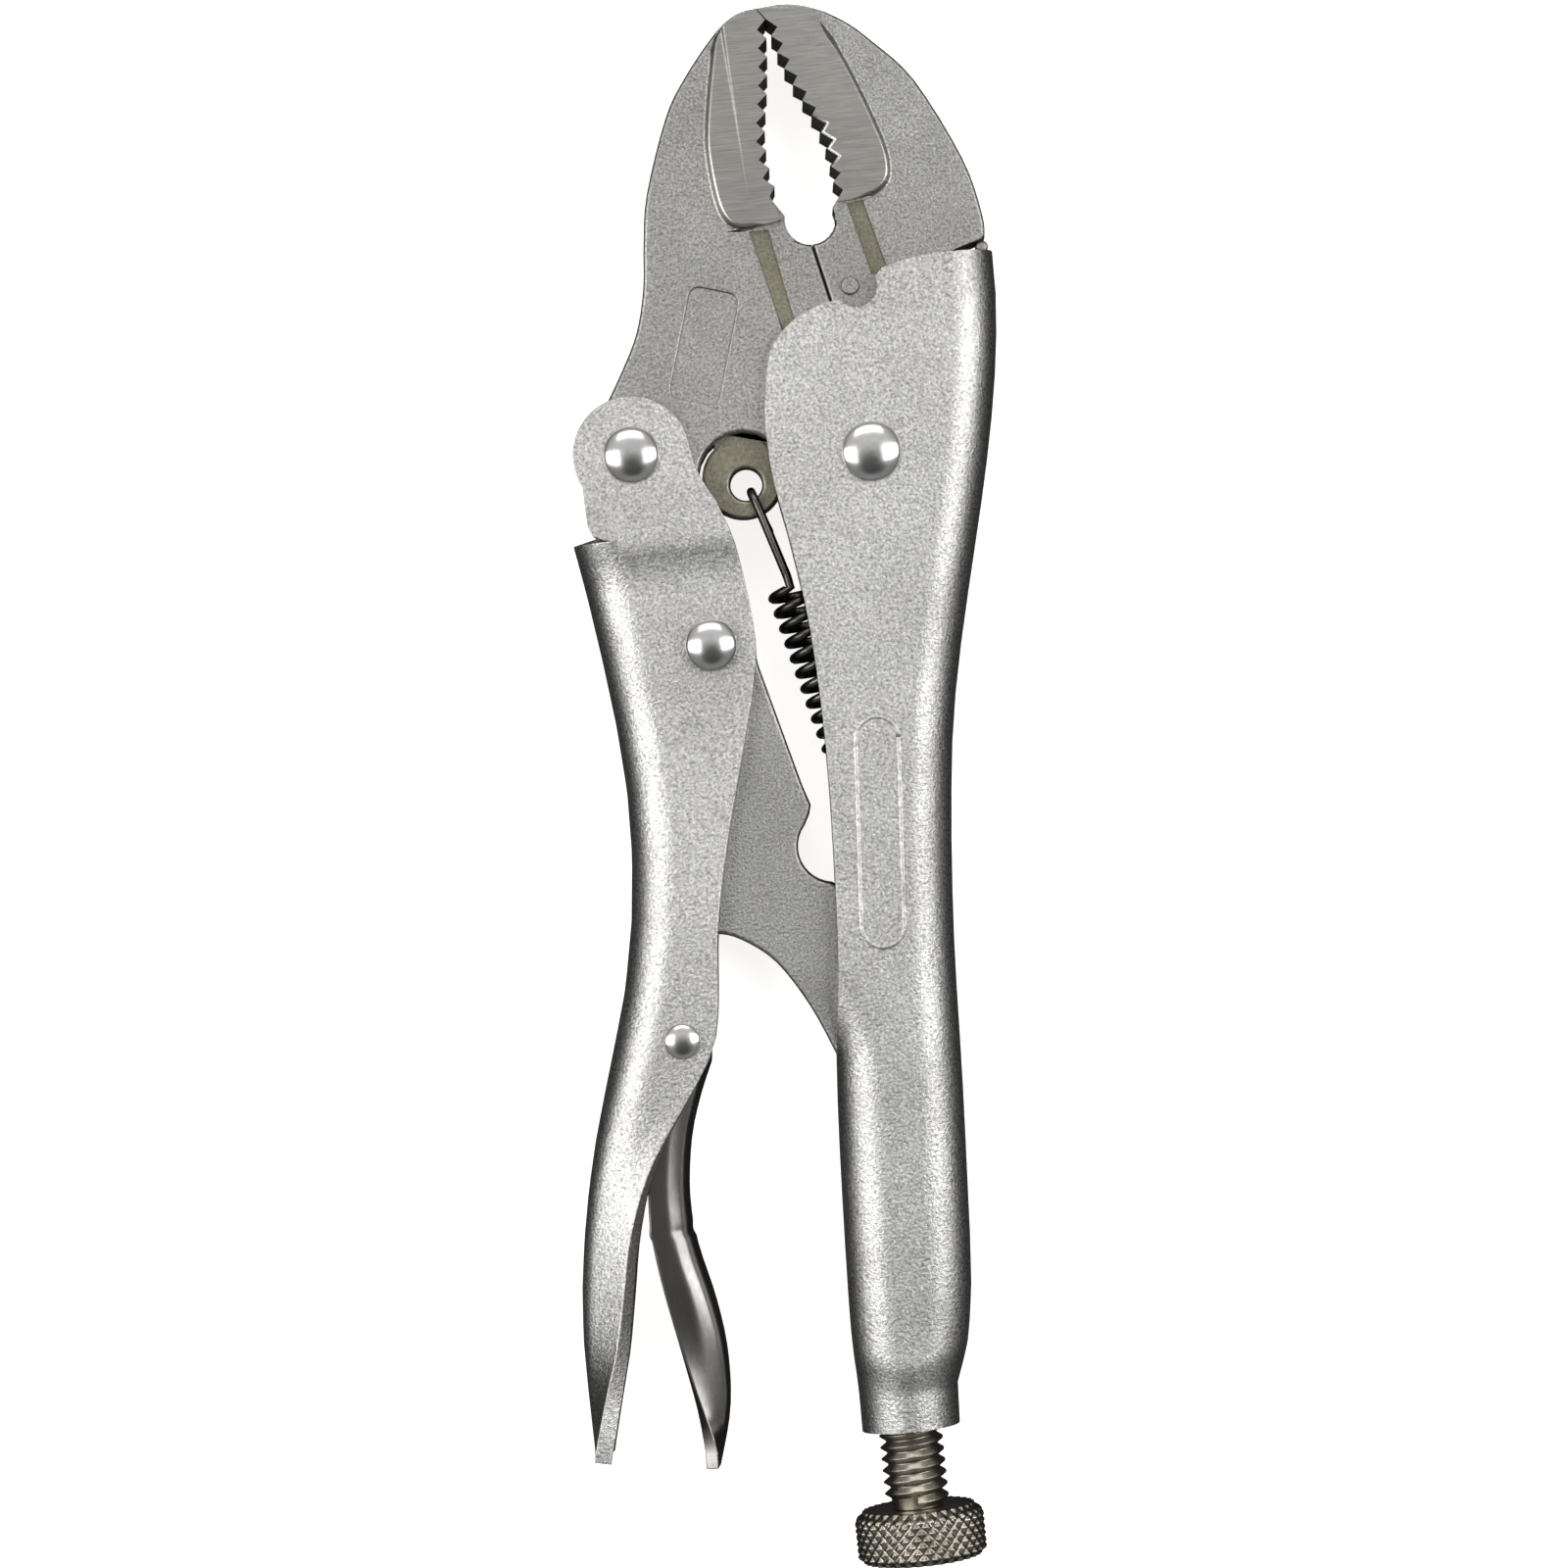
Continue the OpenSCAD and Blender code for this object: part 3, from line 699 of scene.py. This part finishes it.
def lever_section(y):
    """The lever handle's section, from the near lip over the web to the far lip"""
    back = outline_x("lever_handle", y, 0, -1)
    lip = outline_x("lever_handle", max(y, LIP_MEASURED), HALF - SHEET / 2, 1)
    if y < LIP_MEASURED:
        share = (y - LIP_MEASURED) / (LEVER_END - LIP_MEASURED)
        tip = outline_x("lever_handle", LEVER_END, 0, -1) + SHEET
        lip += (tip - lip) * share
    half = HALF - STEP_IN * (blend_in(y, *STEP_IN_RUN) - blend_in(y, *STEP_OUT_RUN))
    section = half_channel(lip - back, half, SHEET, FOLD, blend_in(y, *OPENING_RUN))
    return mirrored([(back + p.x, p.y) for p in section], y)


def flush(point):
    """The point, laid on the cheek's own level when it is next to it"""
    off = point[2] - MID
    return (point[0], point[1], MID + math.copysign(HALF, off)) if abs(off) > HALF - FLUSH else point


lever_pin = [(a + b) / 2 / MM for a, b in zip(*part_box("lever_rivet"))]
lever_ys = [WEB_TOP - k * 2.2 for k in range(49)] + [-115, -117, LEVER_END]
lever_rows = [lever_section(y) for y in lever_ys]
ear_edge = [p for p in lever_rows[0][:CHANNEL_STEPS + 1] if p[2] > MID + HALF - FLUSH]
ear_lip = [Vector((outline_x("lever_handle", y, HALF - SHEET / 2, 1), y))
           for y in (-6, -4, -2, 0, 2, 4)]
ear = ([Vector(p[:2]) for p in reversed(ear_edge)] + ear_lip
       + arc(lever_pin, EAR_RADIUS, *EAR_ARC, 30) + [Vector(p) for p in EAR_HEEL])
lever_rows[0] = [flush(p) for p in lever_rows[0]]
lever_faces = both_cheeks(ear) + [f[::-1] for f in strip(lever_rows)]
lever_handle = piece("lever_handle_sheet", lever_faces, blasted_nickel, SHEET, EDGE_BREAK)
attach(lever_handle, "lever")
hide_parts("lever_handle")


# The toggle link. A thick plate of the same steel, blanked, blasted and plated, that props the
# lever handle against the adjusting screw. Its darker forged colour is painted shade from the
# handles.
forging("toggle_link_plate", "toggle_link", "link", (forged_nickel_and_link_shade,) * 3,
        HALF + 1, lambda place: False)


# The release lever. Thinner sheet folded to a channel that nests in the lever handle, left smooth,
# and darker than the rest as painted shade from the lever handle, so its corner carries one bright
# streak.
RELEASE_SHEET = 1.6
RELEASE_FOLD = 3.2
release_low, release_high = (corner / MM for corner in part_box("release_lever"))
RELEASE_HALF = (release_high.z - release_low.z) / 2
RELEASE_EDGE = 0.25
RELEASE_TOP = -66.5
RELEASE_STEP = -92.3          # a die leaves a small step across the corner here
RELEASE_STEP_DEPTH = 0.22
RELEASE_OPENING = (-96, -119)
RELEASE_LIP_END = -117
RELEASE_TIP_SHARE = 0.4       # how far the lip runs in towards the back at the tip


def release_section(y):
    """The release lever's section, from its near lip over its back to its far lip"""
    back = outline_x("release_lever", y, 0, 1)
    lip = outline_x("release_lever", max(y, RELEASE_LIP_END), RELEASE_HALF - RELEASE_SHEET / 2, -1)
    if y < RELEASE_LIP_END:
        share = (y - RELEASE_LIP_END) / (release_low.y - RELEASE_LIP_END)
        lip += (back - RELEASE_SHEET - lip) * share * RELEASE_TIP_SHARE
    # The step falls away gently above and sharply below
    step = RELEASE_STEP_DEPTH * (blend_in(y, RELEASE_STEP + 1.6, RELEASE_STEP + 0.2)
                                 - blend_in(y, RELEASE_STEP + 0.1, RELEASE_STEP - 0.5))
    section = half_channel(back - lip, RELEASE_HALF, RELEASE_SHEET, RELEASE_FOLD,
                           blend_in(y, *RELEASE_OPENING))
    return mirrored([(back - step - p.x, p.y) for p in section], y)


# Rolled steel, tumbled smooth, its colour darkened as painted shade from the lever handle: soft
# mirror streaks with drawing lines along the lever
smooth_steel_painted_shade = worked_steel("tumbled_steel_painted_shade", "9C9A97", "7F7D7A", 0.22, 0.5, 0.004,
                            drawn=(3, 0.4, 1), turn=8, sparkle=0.12)
release_ys = ([RELEASE_TOP - k * 1.8 for k in range(14)] + [-91, -91.6, -92, -92.4, -92.9]
              + [-94 - k * 1.8 for k in range(15)] + [release_low.y + INSIDE])
release_rows = [release_section(y) for y in release_ys]
release_lever = piece("release_lever_sheet", strip(release_rows), smooth_steel_painted_shade, RELEASE_SHEET,
                      RELEASE_EDGE)
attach(release_lever, "release")
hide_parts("release_lever")


# The return spring. A coil of oil-tempered wire with a hook through the ear of the movable jaw
# and a loop round the tang inside the fixed handle. It is stretched while the jaws are shut, and
# draws them open.
WIRE = 1.1
WIRE_SIDES = 12
COILS = 16
COIL_STEPS = 24
COIL_PITCH = 1.95
COIL_RADIUS = 2.5
COIL_TOP = Vector((-11.4, -15.3))
COIL_TILT = math.radians(13.7)
HOOK = ((-13.2, -8.2, -2.6), (-14.3, -5.2, -2.6), (-14.9, -3.4, -2), (-15, -3.05, 0),
        (-14.9, -3.5, 2), (-14.2, -5.6, 2.6), (-12.4, -11.5, 2.4), (-11.7, -13.8, 2.3))
LEAD_OUT = ((-3.6, -46.6, 2.2), (-2, -47.9, 1.2))
LOOP_CENTRE = (-1.6, -50.05)
LOOP_RADIUS = 2.72
LOOP_START = 20               # degrees
LOOP_TURN = 320
LOOP_STEPS = 20
LOOP_LEAN = 0.02              # how far each step of the loop moves to the right


def coil_point(along, turn):
    """A point of the coil, at the distance along its axis and the angle turn round it"""
    down = Vector((math.sin(COIL_TILT), -math.cos(COIL_TILT)))
    aside = Vector((math.cos(COIL_TILT), math.sin(COIL_TILT)))
    flat = COIL_TOP + down * along + aside * COIL_RADIUS * math.cos(turn)
    return Vector((flat.x, flat.y, MID + COIL_RADIUS * math.sin(turn)))


def at_height(points):
    """The same points with their heights counted from the table, not from the middle"""
    return [(x, y, MID + z) for x, y, z in points]


hook = spline(at_height(HOOK), 5)
coil = [coil_point(k * COIL_PITCH / COIL_STEPS, math.radians(90 + k * 360 / COIL_STEPS))
        for k in range(COILS * COIL_STEPS + 1)]
lead_out = spline(at_height(LEAD_OUT), 3)
loop = []
for k in range(LOOP_STEPS + 1):
    t = math.radians(LOOP_START + LOOP_TURN * k / LOOP_STEPS)
    loop.append(Vector((LOOP_CENTRE[0] + LOOP_LEAN * k, LOOP_CENTRE[1] + LOOP_RADIUS * math.cos(t),
                        MID + LOOP_RADIUS * math.sin(t))))
# Oil-tempered wire: near black with a thin shine along its length
spring_wire = worked_steel("oil_tempered_wire", "6E6C69", "4B4947", 0.26, 0.5, 0.004, sparkle=0.15)
spring = piece("return_spring_wire", sweep(hook + coil + lead_out + loop, WIRE / 2, WIRE_SIDES),
               spring_wire)
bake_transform(spring)
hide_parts("return_spring")


# The adjusting screw. A 5/16 inch coarse thread is rolled on a steel rod, which runs in the tapped
# end of the fixed handle. Its head is upset from the same rod and knurled.
INCH = 25.4
PITCH = INCH / 18
THREAD_DEPTH = 0.75
THREAD_SIDES = 48
LAST_TURN = 1.2               # turns from the lower side of the last ridge to the tip
TIP_CUT = 0.6                 # bevel of the tip
HIDDEN = 0.02                 # the rod is this much thinner than the thread's root
screw_low, screw_high = (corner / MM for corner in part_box("screw_shank"))
knob_low, knob_high = (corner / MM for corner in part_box("screw_knob"))
screw_axis = (screw_low + screw_high) / 2
THREAD_RADIUS = (screw_high.x - screw_low.x) / 2
ROOT = THREAD_RADIUS - THREAD_DEPTH
# Each corner of the ridge is given as its radius and its share of the pitch
thread_form = ((ROOT, 0), (ROOT, 0.12), (THREAD_RADIUS, 0.5), (THREAD_RADIUS, 0.62), (ROOT, 1))
thread_turns = (screw_high.y - screw_low.y) / PITCH - LAST_TURN
thread_rows = []
for k in range(int(thread_turns * THREAD_SIDES) + 1):
    t = 2 * math.pi * k / THREAD_SIDES
    base = screw_low.y + PITCH * k / THREAD_SIDES
    thread_rows.append([Vector((screw_axis.x + r * math.sin(t), base + share * PITCH,
                                MID + r * math.cos(t))) for r, share in thread_form])
# Passivated steel: warm in tone, drifting in small patches to the brown of old oil
screw_steel = worked_steel("passivated_screw_steel", "B8B2A6", "8B8476", 0.27, 0.5, 0.006,
                           patch=5, sparkle=0.2)
screw_thread = piece("screw_thread", strip(thread_rows), screw_steel)
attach(screw_thread, "screw")
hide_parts("screw_shank")
rod_profile = ((AXIS, screw_low.y), (ROOT - HIDDEN, screw_low.y),
               (ROOT - HIDDEN, screw_high.y - TIP_CUT), (ROOT - TIP_CUT, screw_high.y),
               (AXIS, screw_high.y))
screw_rod = turned("screw_rod", rod_profile, (screw_axis.x, 0, MID), screw_steel, "Y")
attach(screw_rod, "screw")

KNURLS = 32
KNURL_DEPTH = 0.5
KNURL_ROWS = 4
KNURL_SIDES = KNURLS * 8
EDGE_CUT = 0.75               # bevel of the outer edge, and a half more at the inner one
FACE_RIM = 2.2                # from the head's radius in to the flat middle of its faces
HEAD_DROP = 0.15              # the face towards the handle falls this much towards the thread
KNURL_STEPS = 48
knob_radius = (knob_high.x - knob_low.x) / 2
knob_length = knob_high.y - knob_low.y


def ridge(turns):
    """A straight-sided ridge that is 0 at whole turns and 1 between them"""
    return 1 - abs(2 * (turns % 1) - 1)


def knurled(angle, along):
    """The head's radius. Two sets of crossing cuts leave rows of small pyramids."""
    around, down = KNURLS * angle / (2 * math.pi), KNURL_ROWS * along / knob_length
    cut_off = max(EDGE_CUT - along, along - (knob_length - EDGE_CUT * 1.5), 0)
    raised = min(ridge(around + down), ridge(around - down))
    return knob_radius - cut_off - KNURL_DEPTH * (1 - raised)


lower_face = [(AXIS, knob_low.y), (knob_radius - FACE_RIM, knob_low.y)]
upper_face = [(knob_radius - FACE_RIM, knob_high.y - HEAD_DROP / 3), (ROOT, knob_high.y - HEAD_DROP),
              (AXIS, knob_high.y - HEAD_DROP)]
knurl_steps = [knob_length * k / KNURL_STEPS for k in range(KNURL_STEPS + 1)]
knob_rows = []
for k in range(KNURL_SIDES + 1):
    t = 2 * math.pi * k / KNURL_SIDES
    side_points = [(knurled(t, along), knob_low.y + along) for along in knurl_steps]
    column = lower_face + side_points + upper_face
    knob_rows.append([Vector((screw_axis.x + r * math.sin(t), y, MID + r * math.cos(t)))
                      for r, y in column])
knob = piece("knurled_head", strip(knob_rows), screw_steel)
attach(knob, "knob")
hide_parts("screw_knob")
